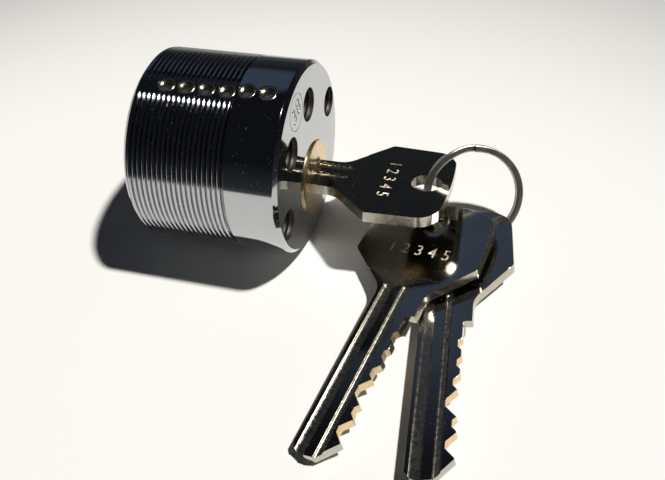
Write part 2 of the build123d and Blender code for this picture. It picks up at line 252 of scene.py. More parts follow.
def makeMetal(name, look):
    # Metal with faint tarnish, dust and a fine waviness, and where asked grain or lathe rings; sizes in mm
    material = bpy.data.materials.new(name)
    material.use_nodes = True
    tree = material.node_tree
    shader = tree.nodes["Principled BSDF"]
    shader.inputs["Metallic"].default_value = 1.0
    place = addNode(tree, "ShaderNodeTexCoord").outputs["Object"]
    noises = {}
    for kind, detail, roughness in (("cloud", 5.0, 0.6), ("dust", 2.0, 0.5), ("wave", 1.0, 0.5)):
        noises[kind] = addNode(tree, "ShaderNodeTexNoise", {
            "Vector": place, "Scale": 1 / (look[kind + "Size"] * mm), "Detail": detail,
            "Roughness": roughness,
        })
    if "grainSize" in look:
        stretched = addNode(tree, "ShaderNodeMapping", {"Vector": place, "Scale": look["grainStretch"]})
        noises["grain"] = addNode(tree, "ShaderNodeTexNoise", {
            "Vector": stretched, "Scale": 1 / (look["grainSize"] * mm), "Detail": 3.0,
        })
    if "ringSize" in look:
        # A noise of the distance from the plug's axis
        across = addNode(tree, "ShaderNodeVectorMath", (place, look["ringCentre"]), operation="SUBTRACT")
        flat = addNode(tree, "ShaderNodeVectorMath", (across, (1, 0, 1)), operation="MULTIPLY")
        away = addNode(tree, "ShaderNodeVectorMath", [flat], operation="LENGTH").outputs["Value"]
        noises["ring"] = addNode(
            tree, "ShaderNodeTexNoise", {"W": away, "Scale": 1 / (look["ringSize"] * mm), "Detail": 2.0},
            noise_dimensions="1D",
        )
    bump = None
    for kind in ("wave", "grain", "ring"):
        if kind in noises:
            inputs = {"Height": noises[kind], "Distance": look[kind + "Height"] * mm, "Strength": 1.0}
            if bump:
                inputs["Normal"] = bump
            bump = addNode(tree, "ShaderNodeBump", inputs)
    clean, tarnished = hexToLinear(look["colour"]), hexToLinear(look["tarnish"])
    colour = addNode(
        tree, "ShaderNodeMix", {0: noises["cloud"], colourA: clean, colourB: tarnished}, data_type="RGBA",
    )
    speck = addNode(tree, "ShaderNodeMapRange", (noises["dust"], *peaksOfNoise, 0.0, look["dust"]))
    rough = addNode(tree, "ShaderNodeMapRange", (noises["cloud"], *mostOfNoise, *look["roughness"]))
    dusty = addNode(tree, "ShaderNodeMath", (rough, speck), operation="ADD")
    tree.links.new(colour.outputs[colourOut], shader.inputs["Base Color"])
    tree.links.new(dusty.outputs[0], shader.inputs["Roughness"])
    tree.links.new(bump.outputs[0], shader.inputs["Normal"])
    return material


# Decorative chrome over polished brass: mirror, cold and dark where the room is dark
chrome = makeMetal("polishedChrome", {
    "colour": "#BDBFC1", "tarnish": "#B3B5B8", "cloudSize": 9.0, "roughness": (0.04, 0.07),
    "dust": 0.45, "dustSize": 0.35, "waveSize": 3.0, "waveHeight": 0.002,
})
# Thin chrome inside the deep holes over drilled brass: dull and rough with nearly no shine, its dark
# brown-grey colour painted shade deep in the holes
holeShadeChrome = makeMetal("chromePaintedDarkInHoles", {
    "colour": "#6B6863", "tarnish": "#47443F", "cloudSize": 0.8, "roughness": (0.4, 0.6),
    "dust": 0.2, "dustSize": 0.3, "waveSize": 0.4, "waveHeight": 0.03,
})
# Free-cutting brass, turned on a lathe: satin cream, with fine rings left by the tool
turnedBrass = makeMetal("turnedBrass", {
    "colour": "#E2CDA8", "tarnish": "#CFB68C", "cloudSize": 2.5, "roughness": (0.2, 0.32),
    "dust": 0.2, "dustSize": 0.4, "waveSize": 0.8, "waveHeight": 0.004,
    "ringCentre": tuple(plugAxis), "ringSize": 0.22, "ringHeight": 0.006,
})
# Brass discs pressed and tumbled, then nickel flashed: bright, silvery with a little yellow
pressedBrass = makeMetal("flashedBrass", {
    "colour": "#EFE8D4", "tarnish": "#CFC2A0", "cloudSize": 0.9, "roughness": (0.14, 0.22),
    "dust": 0.2, "dustSize": 0.3, "waveSize": 0.75, "waveHeight": 0.06,
})
# Nickel silver rod, turned for the pins: satin, warm grey
turnedPin = makeMetal("turnedNickelSilver", {
    "colour": "#CFC8B6", "tarnish": "#AAA18B", "cloudSize": 1.0, "roughness": (0.14, 0.28),
    "dust": 0.2, "dustSize": 0.3, "waveSize": 0.5, "waveHeight": 0.005,
})
# Nickel plate over stamped brass: neutral grey mirror, wavy from the press
nickelPlate = makeMetal("nickelPlate", {
    "colour": "#C9C6BF", "tarnish": "#A9A59B", "cloudSize": 5.0, "roughness": (0.07, 0.13),
    "dust": 0.35, "dustSize": 0.4, "waveSize": 4.0, "waveHeight": 0.012,
})
# Nickel over milled grooves: satin, with specks that the cutter drew out along the spare blades
grooveNickel = makeMetal("nickelInGrooves", {
    "colour": "#CBC7BD", "tarnish": "#8E8A80", "cloudSize": 0.7, "roughness": (0.2, 0.36),
    "dust": 0.2, "dustSize": 0.3, "waveSize": 1.0, "waveHeight": 0.01,
    "grainStretch": (0.35, 1, 1), "grainSize": 0.28, "grainHeight": 0.035,
})
# Nickel over the sheared outline of a stamped blank: satin and wavy
shearedNickel = makeMetal("nickelOnSheared", {
    "colour": "#D2CCBE", "tarnish": "#A8A294", "cloudSize": 1.2, "roughness": (0.16, 0.26),
    "dust": 0.2, "dustSize": 0.3, "waveSize": 1.3, "waveHeight": 0.02,
})
# Brass laid bare by the cutter: pale and matt, with the cutter's fine marks
bareCut = makeMetal("milledBrass", {
    "colour": "#F0DDBA", "tarnish": "#D9BE90", "cloudSize": 0.8, "roughness": (0.34, 0.5),
    "dust": 0.1, "dustSize": 0.3, "waveSize": 0.25, "waveHeight": 0.012,
})
# Digits punched through the plate: matt, pale and frosted by the punch
punchedDigit = makeMetal("punchedBrass", {
    "colour": "#FFF8EA", "tarnish": "#F0E4CC", "cloudSize": 0.8, "roughness": (0.5, 0.62),
    "dust": 0.1, "dustSize": 0.3, "waveSize": 0.3, "waveHeight": 0.006,
})
# Hard-drawn flat steel wire, nickel plated: grey and satin, a little uneven from the rolls
steelWire = makeMetal("platedWire", {
    "colour": "#D6D4CF", "tarnish": "#ADABA5", "cloudSize": 2.0, "roughness": (0.26, 0.4),
    "dust": 0.2, "dustSize": 0.3, "waveSize": 1.2, "waveHeight": 0.01,
})
# Spring steel, oiled: darker grey, and the same grey in the lines engraved in the face
springSteel = makeMetal("springSteel", {
    "colour": "#A9A8A6", "tarnish": "#7F7D7A", "cloudSize": 2.0, "roughness": (0.2, 0.34),
    "dust": 0.2, "dustSize": 0.3, "waveSize": 0.6, "waveHeight": 0.005,
})
# Zinc-plated mild steel, pressed: pale, cloudy, slightly blue
zincSteel = makeMetal("zincPlatedSteel", {
    "colour": "#C7CBD0", "tarnish": "#9FA5AC", "cloudSize": 1.6, "roughness": (0.26, 0.42),
    "dust": 0.2, "dustSize": 0.3, "waveSize": 0.4, "waveHeight": 0.006,
})
print("materials made")


def revolved(profile, centre, axis, side, steps):
    # Closed solid of revolution; profile points are radius and distance along the axis, in mm
    build = bmesh.new()
    across = axis.cross(side)
    rings = []
    for radius, along in profile:
        if radius == 0:
            rings.append([build.verts.new(centre + axis * (along * mm))])
            continue
        ring = []
        for step in range(steps):
            turn = tau * step / steps
            out = side * cos(turn) + across * sin(turn)
            ring.append(build.verts.new(centre + out * (radius * mm) + axis * (along * mm)))
        rings.append(ring)
    for low, high in zip(rings, rings[1:]):
        for step in range(steps):
            after = (step + 1) % steps
            corners = [ring[turn % len(ring)] for ring, turn in (
                (low, step), (low, after), (high, after), (high, step),
            )]
            build.faces.new(list(dict.fromkeys(corners)))
    bmesh.ops.recalc_face_normals(build, faces=build.faces)
    return build


def joinInto(build, other):
    mesh = bpy.data.meshes.new("part")
    other.to_mesh(mesh)
    other.free()
    build.from_mesh(mesh)
    bpy.data.meshes.remove(mesh)


def cutWith(obj, name, build, material=None):
    # Boolean difference; the cutter's material marks the cut faces
    mesh = bpy.data.meshes.new(name)
    build.to_mesh(mesh)
    build.free()
    if material:
        mesh.materials.append(material)
    cutter = newObject(name, mesh)
    cut = obj.modifiers.new(name, "BOOLEAN")
    cut.operation = "DIFFERENCE"
    cut.solver = "EXACT"
    cut.material_mode = "TRANSFER" if material else "INDEX"
    cut.object = cutter
    bakeModifiers(obj)
    bpy.data.objects.remove(cutter)


def dropSlivers(mesh, width):
    # Joins points that cuts and bevels leave very close, then drops faces that hang on by one side
    build = bmesh.new()
    build.from_mesh(mesh)
    bmesh.ops.remove_doubles(build, verts=build.verts, dist=width)
    hanging = [face for face in build.faces if any(len(edge.link_faces) == 1 for edge in face.edges)]
    bmesh.ops.delete(build, geom=hanging, context="FACES")
    build.to_mesh(mesh)
    build.free()


def textBuild(text, height, depth, place):
    # Digits as a closed solid: place maps flat text to where it is stamped
    font = bpy.data.curves.new("digits", "FONT")
    font.body = text
    font.size = height / 0.69  # capital height is 0.69 of the size in this font
    font.align_x = "CENTER"
    font.align_y = "CENTER"
    font.extrude = depth
    font.resolution_u = 4
    holder = newObject("digits", font)
    mesh = evaluatedMesh(holder)
    bpy.data.objects.remove(holder)
    build = bmesh.new()
    build.from_mesh(mesh)
    bpy.data.meshes.remove(mesh)
    bmesh.ops.remove_doubles(build, verts=build.verts, dist=height * 1e-4)
    bmesh.ops.transform(build, matrix=place, verts=build.verts)
    bmesh.ops.recalc_face_normals(build, faces=build.faces)
    return build


def newTree(name, floats=(), counts=(), vectors=(), objects=()):
    # Geometry Nodes tree with named inputs, a material and one geometry out
    tree = bpy.data.node_groups.new(name, "GeometryNodeTree")
    kinds = (
        (floats, "NodeSocketFloat"), (counts, "NodeSocketInt"), (vectors, "NodeSocketVector"),
        (objects, "NodeSocketObject"), (("Metal",), "NodeSocketMaterial"),
    )
    for names, kind in kinds:
        for label in names:
            tree.interface.new_socket(label, in_out="INPUT", socket_type=kind)
    tree.interface.new_socket("Geometry", in_out="OUTPUT", socket_type="NodeSocketGeometry")
    return tree, {socket.name: socket for socket in addNode(tree, "NodeGroupInput").outputs}


def pointLine(tree, count):
    # Straight curve from 0 to 1 along X, with evenly spaced points
    line = addNode(tree, "GeometryNodeCurvePrimitiveLine", {"Start": (0, 0, 0), "End": (1, 0, 0)})
    return addNode(tree, "GeometryNodeResampleCurve", {"Curve": line, "Count": count})


def reshape(tree, given, geometry, steps):
    # Moves each point by a formula. A step is the name of its result, an operation, and what that works
    # on, as numbers and names: wasX and wasY are where the point was, and x, y and z where it goes
    place = addNode(tree, "GeometryNodeInputPosition")
    known = dict(given)
    known["wasX"], known["wasY"], known["wasZ"] = addNode(tree, "ShaderNodeSeparateXYZ", [place]).outputs
    for result, operation, *inputs in steps:
        inputs = [known[item] if isinstance(item, str) else item for item in inputs]
        if operation in ("LINEAR", "SMOOTHSTEP"):
            known[result] = addNode(tree, "ShaderNodeMapRange", inputs, interpolation_type=operation)
        else:
            known[result] = addNode(tree, "ShaderNodeMath", inputs, operation=operation)
    where = addNode(tree, "ShaderNodeCombineXYZ", [known[axis] for axis in "xyz"])
    return addNode(tree, "GeometryNodeSetPosition", {0: geometry, "Position": where})


def paintAndEnd(tree, geometry, given):
    real = addNode(tree, "GeometryNodeRealizeInstances", [geometry])
    painted = addNode(tree, "GeometryNodeSetMaterial", {"Geometry": real, "Material": given["Metal"]})
    addNode(tree, "NodeGroupOutput", [painted])
    return tree


def grown(name, tree, values):
    # Plain mesh from a tree; a modifier's input is set by its socket's identifier
    obj = newObject(name, bpy.data.meshes.new(name))
    modifier = obj.modifiers.new(name, "NODES")
    modifier.node_group = tree
    for item in tree.interface.items_tree:
        if item.item_type == "SOCKET" and item.in_out == "INPUT" and item.name in values:
            modifier[item.identifier] = values[item.name]
    bakeModifiers(obj)
    obj.data.materials.clear()
    obj.data.materials.append(values["Metal"])
    for face in obj.data.polygons:
        face.material_index = 0
    return obj


# Body: threaded sleeve, collar with a chamfered rim, strip along the pin row, holes in the face
bodyShape = {
    "collarLength": 10.2, "rimChamfer": 0.8, "rimRounding": 0.4, "rimSteps": 3, "edgeBreak": 0.08,
    "backChamfer": 0.6, "reliefWidth": 0.12, "reliefRadius": 18.3,
    "pitch": 1.0, "threadDepth": 0.61, "samplesPerPitch": 14, "roundSteps": 180, "seam": 0.004,
    "crownHalf": 0.12, "crestHalf": 0.23, "rootHalf": 0.46, "crestSlope": 0.45,
    "backFade": 0.5, "frontFade": 0.15, "backJoint": 0.02, "frontJoint": 0.05, "sliver": 0.001,
    "stripWidth": 5.2, "stripFloor": 18.28, "stripCutterHeight": 2.0,
    "firstPin": 4.4, "pinPitch": 4.02, "pins": 6, "chamberSteps": 40,
    "capSeat": 1.76, "chamberRadius": 1.55, "collarSeatFloor": 16.7, "stripSeatFloor": 16.1,
    # Holes: place beside and above the plug, radius and depth
    "fixingHole": (5.9, 9.1, 3.2, 12.0), "spannerHole": (14.9, -1.0, 3.0, 9.2), "holeSteps": 48,
    "ridgeDepth": 0.13, "ridgePitch": 1.0, "ridgeStart": 0.6, "ridgeRise": 0.35, "drillPoint": 0.3,
    "mouthChamfer": 0.1,
    # How far cutters reach past the metal, and where the chambers' cutters end from the body's axis
    "faceOvercut": 0.5, "boreOvercut": 1.0, "stripOvercut": 2.0, "chamberTop": 20.0,
    "boreRadius": 6.94, "headSeatRadius": 7.54, "headSeatDepth": 2.4, "boreSteps": 96,
    "markPlace": (0.3, 13.8), "markRadius": 3.6, "markLine": 0.16, "markDepth": 0.07, "markSteps": 72,
    "markText": "38", "markTextHeight": 3.4,
}


def threadTree():
    # Grid wrapped into a tube whose radius follows the thread; its rows run along the helix
    tree, given = newTree(
        "threadedSleeve",
        ("Radius", "Depth", "Pitch", "Start", "End", "Turns", "Crest", "Root", "Crown", "Slope",
         "Back Fade", "Front Fade", "Seam"),
        ("Round Steps", "Rows"),
    )
    grid = addNode(tree, "GeometryNodeMeshGrid", {
        "Size X": 1.0, "Size Y": given["Turns"],
        "Vertices X": given["Round Steps"], "Vertices Y": given["Rows"],
    })
    tube = reshape(tree, given, grid, (
        # Round the axis, and along it by one pitch a turn, held between the tube's ends
        ("share", "ADD", "wasX", 0.5),
        ("turn", "MULTIPLY", "share", tau),
        ("turns", "ADD", "wasY", "share"),
        ("bothEnds", "ADD", "Start", "End"),
        ("middle", "MULTIPLY", "bothEnds", 0.5),
        ("free", "MULTIPLY_ADD", "turns", "Pitch", "middle"),
        ("behindStart", "MAXIMUM", "free", "Start"),
        ("y", "MINIMUM", "behindStart", "End"),
        # How far the point is from the nearest crest, in pitches
        ("along", "SUBTRACT", "y", "middle"),
        ("pitches", "DIVIDE", "along", "Pitch"),
        ("lead", "SUBTRACT", "pitches", "share"),
        ("positive", "ADD", "lead", 100.0),  # whole pitches, so that the fraction is never of a negative
        ("phase", "FRACT", "positive"),
        ("offCrest", "SUBTRACT", "phase", 0.5),
        ("fromCrest", "ABSOLUTE", "offCrest"),
        # Flanks, less at both ends, and a crest that falls a little from its crown
        ("flank", "SMOOTHSTEP", "fromCrest", "Root", "Crest", 0.0, 1.0),
        ("toBack", "SUBTRACT", "End", "y"),
        ("backEnd", "LINEAR", "toBack", 0.0, "Back Fade", 0.0, 1.0),
        ("toFront", "SUBTRACT", "y", "Start"),
        ("frontEnd", "LINEAR", "toFront", 0.0, "Front Fade", 0.0, 1.0),
        ("ends", "MULTIPLY", "backEnd", "frontEnd"),
        ("offCrown", "SUBTRACT", "fromCrest", "Crown"),
        ("beyond", "MAXIMUM", "offCrown", 0.0),
        ("beyondLength", "MULTIPLY", "beyond", "Pitch"),
        ("fall", "MULTIPLY", "beyondLength", "Slope"),
        ("height", "SUBTRACT", "Depth", "fall"),
        ("heightShare", "MULTIPLY", "flank", "ends"),
        ("ridge", "MULTIPLY", "heightShare", "height"),
        ("rootRadius", "SUBTRACT", "Radius", "Depth"),
        ("radius", "ADD", "rootRadius", "ridge"),
        ("cosine", "COSINE", "turn"),
        ("x", "MULTIPLY", "radius", "cosine"),
        ("sine", "SINE", "turn"),
        ("z", "MULTIPLY", "radius", "sine"),
    ))
    merged = addNode(tree, "GeometryNodeMergeByDistance", {"Geometry": tube, "Distance": given["Seam"]})
    return paintAndEnd(tree, merged, given)


def growRing(build, edges, radius, y):
    # Extrudes a rim and moves the new ring to a radius and a distance along the body
    made = bmesh.ops.extrude_edge_only(build, edges=edges)["geom"]
    for vertex in (item for item in made if isinstance(item, bmesh.types.BMVert)):
        flat = Vector((vertex.co.x, 0, vertex.co.z)).normalized() * radius
        vertex.co = Vector((flat.x, y, flat.z))
    return [item for item in made if isinstance(item, bmesh.types.BMEdge)]


def holeProfile(radius, depth, s):
    # Blind hole with worn ridges on its wall, as a cutter's profile
    mouth, above, rise = radius + s["mouthChamfer"], -s["faceOvercut"], s["ridgeRise"] * s["ridgePitch"]
    points = [(0, above), (mouth, above), (mouth, 0), (radius, s["mouthChamfer"])]
    for ridge in range(int((depth - 2 * s["ridgeStart"]) / s["ridgePitch"])):
        start = s["ridgeStart"] + ridge * s["ridgePitch"]
        points += [(radius, start), (radius - s["ridgeDepth"], start + rise), (radius, start + 2 * rise)]
    return points + [(radius, depth), (0, depth + radius * s["drillPoint"])]


def onFace(side, up):
    return Vector((0, faceY, 0)) + (rowSide * side + rowUp * up) * mm


def collarEndY(s):
    return faceY + s["collarLength"] * mm


def pinPlaces(s):
    # Each chamber's place along the body, and the floor of its cap's seat in mm from the axis
    for i in range(s["pins"]):
        y = faceY + (s["firstPin"] + s["pinPitch"] * i) * mm
        yield y, s["collarSeatFloor" if y < collarEndY(s) else "stripSeatFloor"]


def boreCutter(s):
    # Bore for the plug, with a wider seat for its head
    bore, seat, seatEnd = s["boreRadius"], s["headSeatRadius"], s["headSeatDepth"]
    mouth, above = seat + s["mouthChamfer"], -s["faceOvercut"]
    below = (backY - faceY) / mm + s["boreOvercut"]
    profile = [
        (0, above), (mouth, above), (mouth, 0), (seat, s["mouthChamfer"]), (seat, seatEnd),
        (bore, seatEnd), (bore, below), (0, below),
    ]
    return revolved(profile, plugAxis + Vector((0, faceY, 0)), lengthways, rowSide, s["boreSteps"])


def stripCutter(s):
    # Block on the strip's floor, from the collar to past the back
    build = bmesh.new()
    height = s["stripCutterHeight"] * mm
    near, far = collarEndY(s), backY + s["stripOvercut"] * mm
    for vertex in bmesh.ops.create_cube(build, size=1)["verts"]:
        side = vertex.co.x * s["stripWidth"] * mm
        along = (near + far) / 2 + vertex.co.y * (far - near)
        up = s["stripFloor"] * mm + (vertex.co.z + 0.5) * height
        vertex.co = rowSide * side + rowUp * up + Vector((0, along, 0))
    return build


def holeCutter(s):
    # Two fixing holes and two spanner holes, one on each side
    build = bmesh.new()
    for side, up, radius, depth in (s["fixingHole"], s["spannerHole"]):
        profile = holeProfile(radius, depth, s)
        for hand in (-1, 1):
            place = onFace(hand * side, up)
            joinInto(build, revolved(profile, place, lengthways, rowSide, s["holeSteps"]))
    return build


def chamberCutter(s):
    # Pin chambers from the body's axis outwards, with a wider seat for each cap
    build = bmesh.new()
    bore, seat, top = s["chamberRadius"], s["capSeat"], s["chamberTop"]
    for y, floor in pinPlaces(s):
        profile = [(0, 0), (bore, 0), (bore, floor), (seat, floor), (seat, top), (0, top)]
        joinInto(build, revolved(profile, Vector((0, y, 0)), rowUp, rowSide, s["chamberSteps"]))
    return build


def markCutter(s):
    # Thin circle with a plain number in it, engraved above the plug
    inner, outer, deep = s["markRadius"] - s["markLine"], s["markRadius"], s["markDepth"]
    profile = [(inner, -deep), (outer, -deep), (outer, deep), (inner, deep), (inner, -deep)]
    build = revolved(profile, onFace(*s["markPlace"]), lengthways, rowSide, s["markSteps"])
    bmesh.ops.remove_doubles(build, verts=build.verts, dist=1e-7)  # the profile's two ends meet
    bmesh.ops.recalc_face_normals(build, faces=build.faces)
    stand = Matrix((rowSide, rowUp, -lengthways)).transposed().to_4x4()
    stand.translation = onFace(*s["markPlace"])
    joinInto(build, textBuild(s["markText"], s["markTextHeight"] * mm, deep * mm, stand))
    return build


def sharpenStrip(mesh, floor):
    # The flat strip keeps its own flat shading beside the round thread
    build = bmesh.new()
    build.from_mesh(mesh)
    sameWay, samePlace = 0.9999, 0.01 * mm
    flat = {
        face for face in build.faces if face.normal.dot(rowUp) > sameWay
        and abs(face.calc_center_median().dot(rowUp) - floor) < samePlace
    }
    for edge in build.edges:
        if sum(face in flat for face in edge.link_faces) == 1:
            edge.smooth = False
    build.to_mesh(mesh)
    build.free()


def rimCorner(s):
    # Arc between the collar and its chamfer, as radii and distances along the body
    arc = s["rimRounding"] * mm
    middle = faceY + s["rimChamfer"] * mm + arc * (2 ** 0.5 - 1)
    turns = [tau / 8 * step / s["rimSteps"] for step in range(s["rimSteps"] + 1)]
    return [(bodyRadius - arc * (1 - cos(turn)), middle - arc * sin(turn)) for turn in turns]


def closeEnds(mesh, s, threadStart, threadEnd):
    # Collar and face in front of the threaded tube, chamfer and flat back behind it
    build = bmesh.new()
    build.from_mesh(mesh)
    rim = [e for e in build.edges if e.is_boundary]
    front = [e for e in rim if all(v.co.y < (threadStart + threadEnd) / 2 for v in e.verts)]
    back = [e for e in rim if e not in front]
    collarEnd, edge, relief = collarEndY(s), s["edgeBreak"] * mm, s["reliefRadius"] * mm
    root = bodyRadius - s["threadDepth"] * mm
    for radius, y in (
        (relief, threadStart - s["frontJoint"] * mm), (relief, collarEnd),
        (bodyRadius - edge, collarEnd), (bodyRadius, collarEnd - edge),
        *rimCorner(s), (bodyRadius - s["rimChamfer"] * mm, faceY),
    ):
        front = growRing(build, front, radius, y)
    for radius, y in ((root, threadEnd + s["backJoint"] * mm), (root - s["backChamfer"] * mm, backY)):
        back = growRing(build, back, radius, y)
    for edges in (front, back):
        bmesh.ops.edgeloop_fill(build, edges=edges)
    bmesh.ops.recalc_face_normals(build, faces=build.faces)
    build.to_mesh(mesh)
    build.free()


def makeBody(s):
    threadStart = collarEndY(s) + s["reliefWidth"] * mm
    threadEnd = backY - s["backChamfer"] * mm
    turns = (threadEnd - threadStart) / (s["pitch"] * mm) + 2  # the helix starts and ends past the tube
    rows = int(turns * s["samplesPerPitch"]) + 3
    obj = grown("body_shell", threadTree(), {
        "Radius": bodyRadius, "Depth": s["threadDepth"] * mm, "Pitch": s["pitch"] * mm,
        "Start": threadStart, "End": threadEnd, "Turns": (rows - 1) / s["samplesPerPitch"],
        "Crest": s["crestHalf"], "Root": s["rootHalf"], "Crown": s["crownHalf"],
        "Slope": s["crestSlope"], "Seam": s["seam"] * mm,
        "Back Fade": s["backFade"] * mm, "Front Fade": s["frontFade"] * mm,
        "Round Steps": s["roundSteps"] + 1, "Rows": rows, "Metal": chrome,
    })
    closeEnds(obj.data, s, threadStart, threadEnd)
    cutWith(obj, "bore", boreCutter(s))
    cutWith(obj, "strip", stripCutter(s))
    # The hole walls take the dark brown-grey colour painted as shade inside the holes
    cutWith(obj, "holes", holeCutter(s), holeShadeChrome)
    cutWith(obj, "chambers", chamberCutter(s))
    cutWith(obj, "mark", markCutter(s), springSteel)
    dropSlivers(obj.data, s["sliver"] * mm)
    finishPiece(obj, "body", "chromed_brass", "body", angle=28)
    sharpenStrip(obj.data, s["stripFloor"] * mm)
    return obj


body = makeBody(bodyShape)
print("body made:", len(body.data.polygons), "faces")

# Caps: dished discs pressed into the chambers' mouths
capShape = {
    "radius": 1.75, "thickness": 2.1, "lip": 1.42, "lipDrop": 0.22, "lipSteps": 5,
    "floorRadius": 0.85, "wallSlope": 0.47, "wallSteps": 5, "floorDrop": 0.04, "flatShare": 0.8,
    "collarTop": 18.8, "stripTop": 18.2, "steps": 40,
}


def capTree():
    # One cap on each point of a line; those in the thread's strip sit lower
    tree, given = newTree(
        "capRow", ("First", "Pitch", "Collar End", "Collar Top", "Strip Top"),
        ("Count",), ("Row Up",), ("Cap",),
    )
    start = addNode(tree, "ShaderNodeCombineXYZ", {1: given["First"]})
    step = addNode(tree, "ShaderNodeCombineXYZ", {1: given["Pitch"]})
    line = addNode(
        tree, "GeometryNodeMeshLine", {"Count": given["Count"], "Start Location": start, "Offset": step},
    )
    place = addNode(tree, "GeometryNodeInputPosition")
    y = addNode(tree, "ShaderNodeSeparateXYZ", [place]).outputs["Y"]
    inCollar = addNode(tree, "ShaderNodeMath", (y, given["Collar End"]), operation="LESS_THAN")
    ledge = addNode(tree, "ShaderNodeMath", (given["Collar Top"], given["Strip Top"]), operation="SUBTRACT")
    rise = addNode(tree, "ShaderNodeMath", (inCollar, ledge), operation="MULTIPLY")
    height = addNode(tree, "ShaderNodeMath", (given["Strip Top"], rise), operation="ADD")
    lift = addNode(tree, "ShaderNodeVectorMath", {0: given["Row Up"], "Scale": height}, operation="SCALE")
    row = addNode(tree, "GeometryNodeSetPosition", {"Geometry": line, "Offset": lift})
    cap = addNode(tree, "GeometryNodeObjectInfo", {"Object": given["Cap"]}).outputs["Geometry"]
    caps = addNode(tree, "GeometryNodeInstanceOnPoints", {"Points": row, "Instance": cap})
    return paintAndEnd(tree, caps, given)


def makeCaps(s, b):
    # Rounded lip outside, cone and flat floor inside, so each slope catches the lamp on its own side
    profile = [(0, -s["thickness"]), (s["radius"], -s["thickness"])]
    for step in range(s["lipSteps"] + 1):
        turn = tau / 4 * step / s["lipSteps"]
        profile.append((s["lip"] + (s["radius"] - s["lip"]) * cos(turn), s["lipDrop"] * (sin(turn) - 1)))
    wall = s["lip"] - s["floorRadius"]
    for step in range(1, s["wallSteps"] + 1):
        inward = wall * step / s["wallSteps"]
        profile.append((s["lip"] - inward, -s["wallSlope"] * inward))
    floor = -s["wallSlope"] * wall - s["floorDrop"]
    profile += [(s["floorRadius"] * s["flatShare"], floor), (0, floor)]
    build = revolved(profile, Vector(), rowUp, rowSide, s["steps"])
    mesh = bpy.data.meshes.new("cap")
    build.to_mesh(mesh)
    build.free()
    cap = newObject("cap", mesh)
    caps = grown("chamber_caps", capTree(), {
        "First": faceY + b["firstPin"] * mm, "Pitch": b["pinPitch"] * mm, "Count": b["pins"],
        "Collar End": collarEndY(b), "Row Up": rowUp, "Cap": cap,
        "Collar Top": s["collarTop"] * mm, "Strip Top": s["stripTop"] * mm, "Metal": pressedBrass,
    })
    bpy.data.objects.remove(cap)
    finishPiece(caps, "body", "brass", *[f"chamber_cap_{i + 1}" for i in range(b["pins"])], angle=35)


makeCaps(capShape, bodyShape)
print("caps made")

# How copies of CAD solids get soft edges; angles in degrees, lengths in mm
softening = {
    "flatAngle": 0.4, "sharpAngle": 30, "edgeSteps": 2, "scoopSteps": 4, "sliver": 0.02,
}


def addBevel(obj, name, width, steps, limit):
    bevel = obj.modifiers.new(name, "BEVEL")
    bevel.width = width * mm
    bevel.segments = steps
    bevel.limit_method = limit
    return bevel


def softened(node, name, width, *materials, paint=None, scoop=0, wear=None):
    # Copy of a CAD solid with its edges rounded a little, as tumbling and plating leave them.
    # A scoop rounds the inner corners beside faces of material 2, and wear moves a point
    mesh = nodes[node].data.copy()
    mesh.materials.clear()
    for material in materials:
        mesh.materials.append(material)
    build = bmesh.new()
    build.from_mesh(mesh)
    bmesh.ops.remove_doubles(build, verts=build.verts, dist=1e-6)
    flat = radians(softening["flatAngle"])
    bmesh.ops.dissolve_limit(build, angle_limit=flat, verts=build.verts, edges=build.edges)
    if wear:
        for vertex in build.verts:
            vertex.co = wear(vertex.co)
    for face in build.faces:
        face.material_index = paint(face) if paint else 0
    if scoop:
        weight = build.edges.layers.float.new("bevel_weight_edge")
        for edge in build.edges:
            floors = sum(face.material_index == 2 for face in edge.link_faces)
            edge[weight] = float(floors == 1 and not edge.is_convex)
    build.to_mesh(mesh)
    build.free()
    obj = newObject(name, mesh)
    if scoop:
        addBevel(obj, "scoop", scoop, softening["scoopSteps"], "WEIGHT").use_clamp_overlap = False
    edges = addBevel(obj, "edges", width, softening["edgeSteps"], "ANGLE")
    edges.angle_limit = radians(softening["sharpAngle"])
    bakeModifiers(obj)
    dropSlivers(obj.data, softening["sliver"] * mm)
    return obj


# Plug, cam, washer and clip keep their CAD shape: softened edge in mm, metal, slot and body
softPieces = {
    "plug": (0.08, turnedBrass, "brass", "plug"),
    "cam": (0.12, zincSteel, "zinc_plated_steel", "plug"),
    "cam_clip": (0.1, springSteel, "spring_steel", "plug"),
    "thrust_washer": (0.08, springSteel, "spring_steel", "body"),
}
for node, (width, metal, slot, rider) in softPieces.items():
    piece = softened(node, node + "_soft", width, metal)
    finishPiece(piece, rider, slot, node, angle=40, flatSides=True)
print("plug, cam, washer and clip made")

# Keys: stamped blanks with a plain number, satin grooves, and brass bare at the cuts
keyShape = {
    "edge": 0.12, "grooveCorner": 0.34, "grooveFloor": 0.7,
    "holeToStop": 22.2, "halfBow": 1.1,
    "cutsAlong": (-27.2, -2.0), "cutsAcross": (0.5, 4.05), "cutsHalf": 0.6,
    # Corners of the bow: place along and across, and how many times larger wear makes their round
    "bowCorners": ((24.5, 12.3, 4.0), (26.5, 9.0, 2.5)), "cornerReach": 0.7,
    "text": "12345", "textHeight": 2.4, "textStart": -5.62, "textPitch": 2.88, "textAlong": 14.7,
    "textDepth": 0.09,
}
# A place is the key's body, its bow hole's centre, heading from +X, climb towards the bow, and roll
# about the blade
keyPlaces = {
    "key_in_plug": ("plug", (2.437, -27.7, -6.792), -90.0, 0.0, 14.2),
    "spare_key_1": ("upper_key", (-1.46, -30.07, -13.24), -11.46, 3.85, 11.2),
    "spare_key_2": ("lower_key", (-0.81, -32.88, -15.86), 7.2, -0.1, 8.3),
}


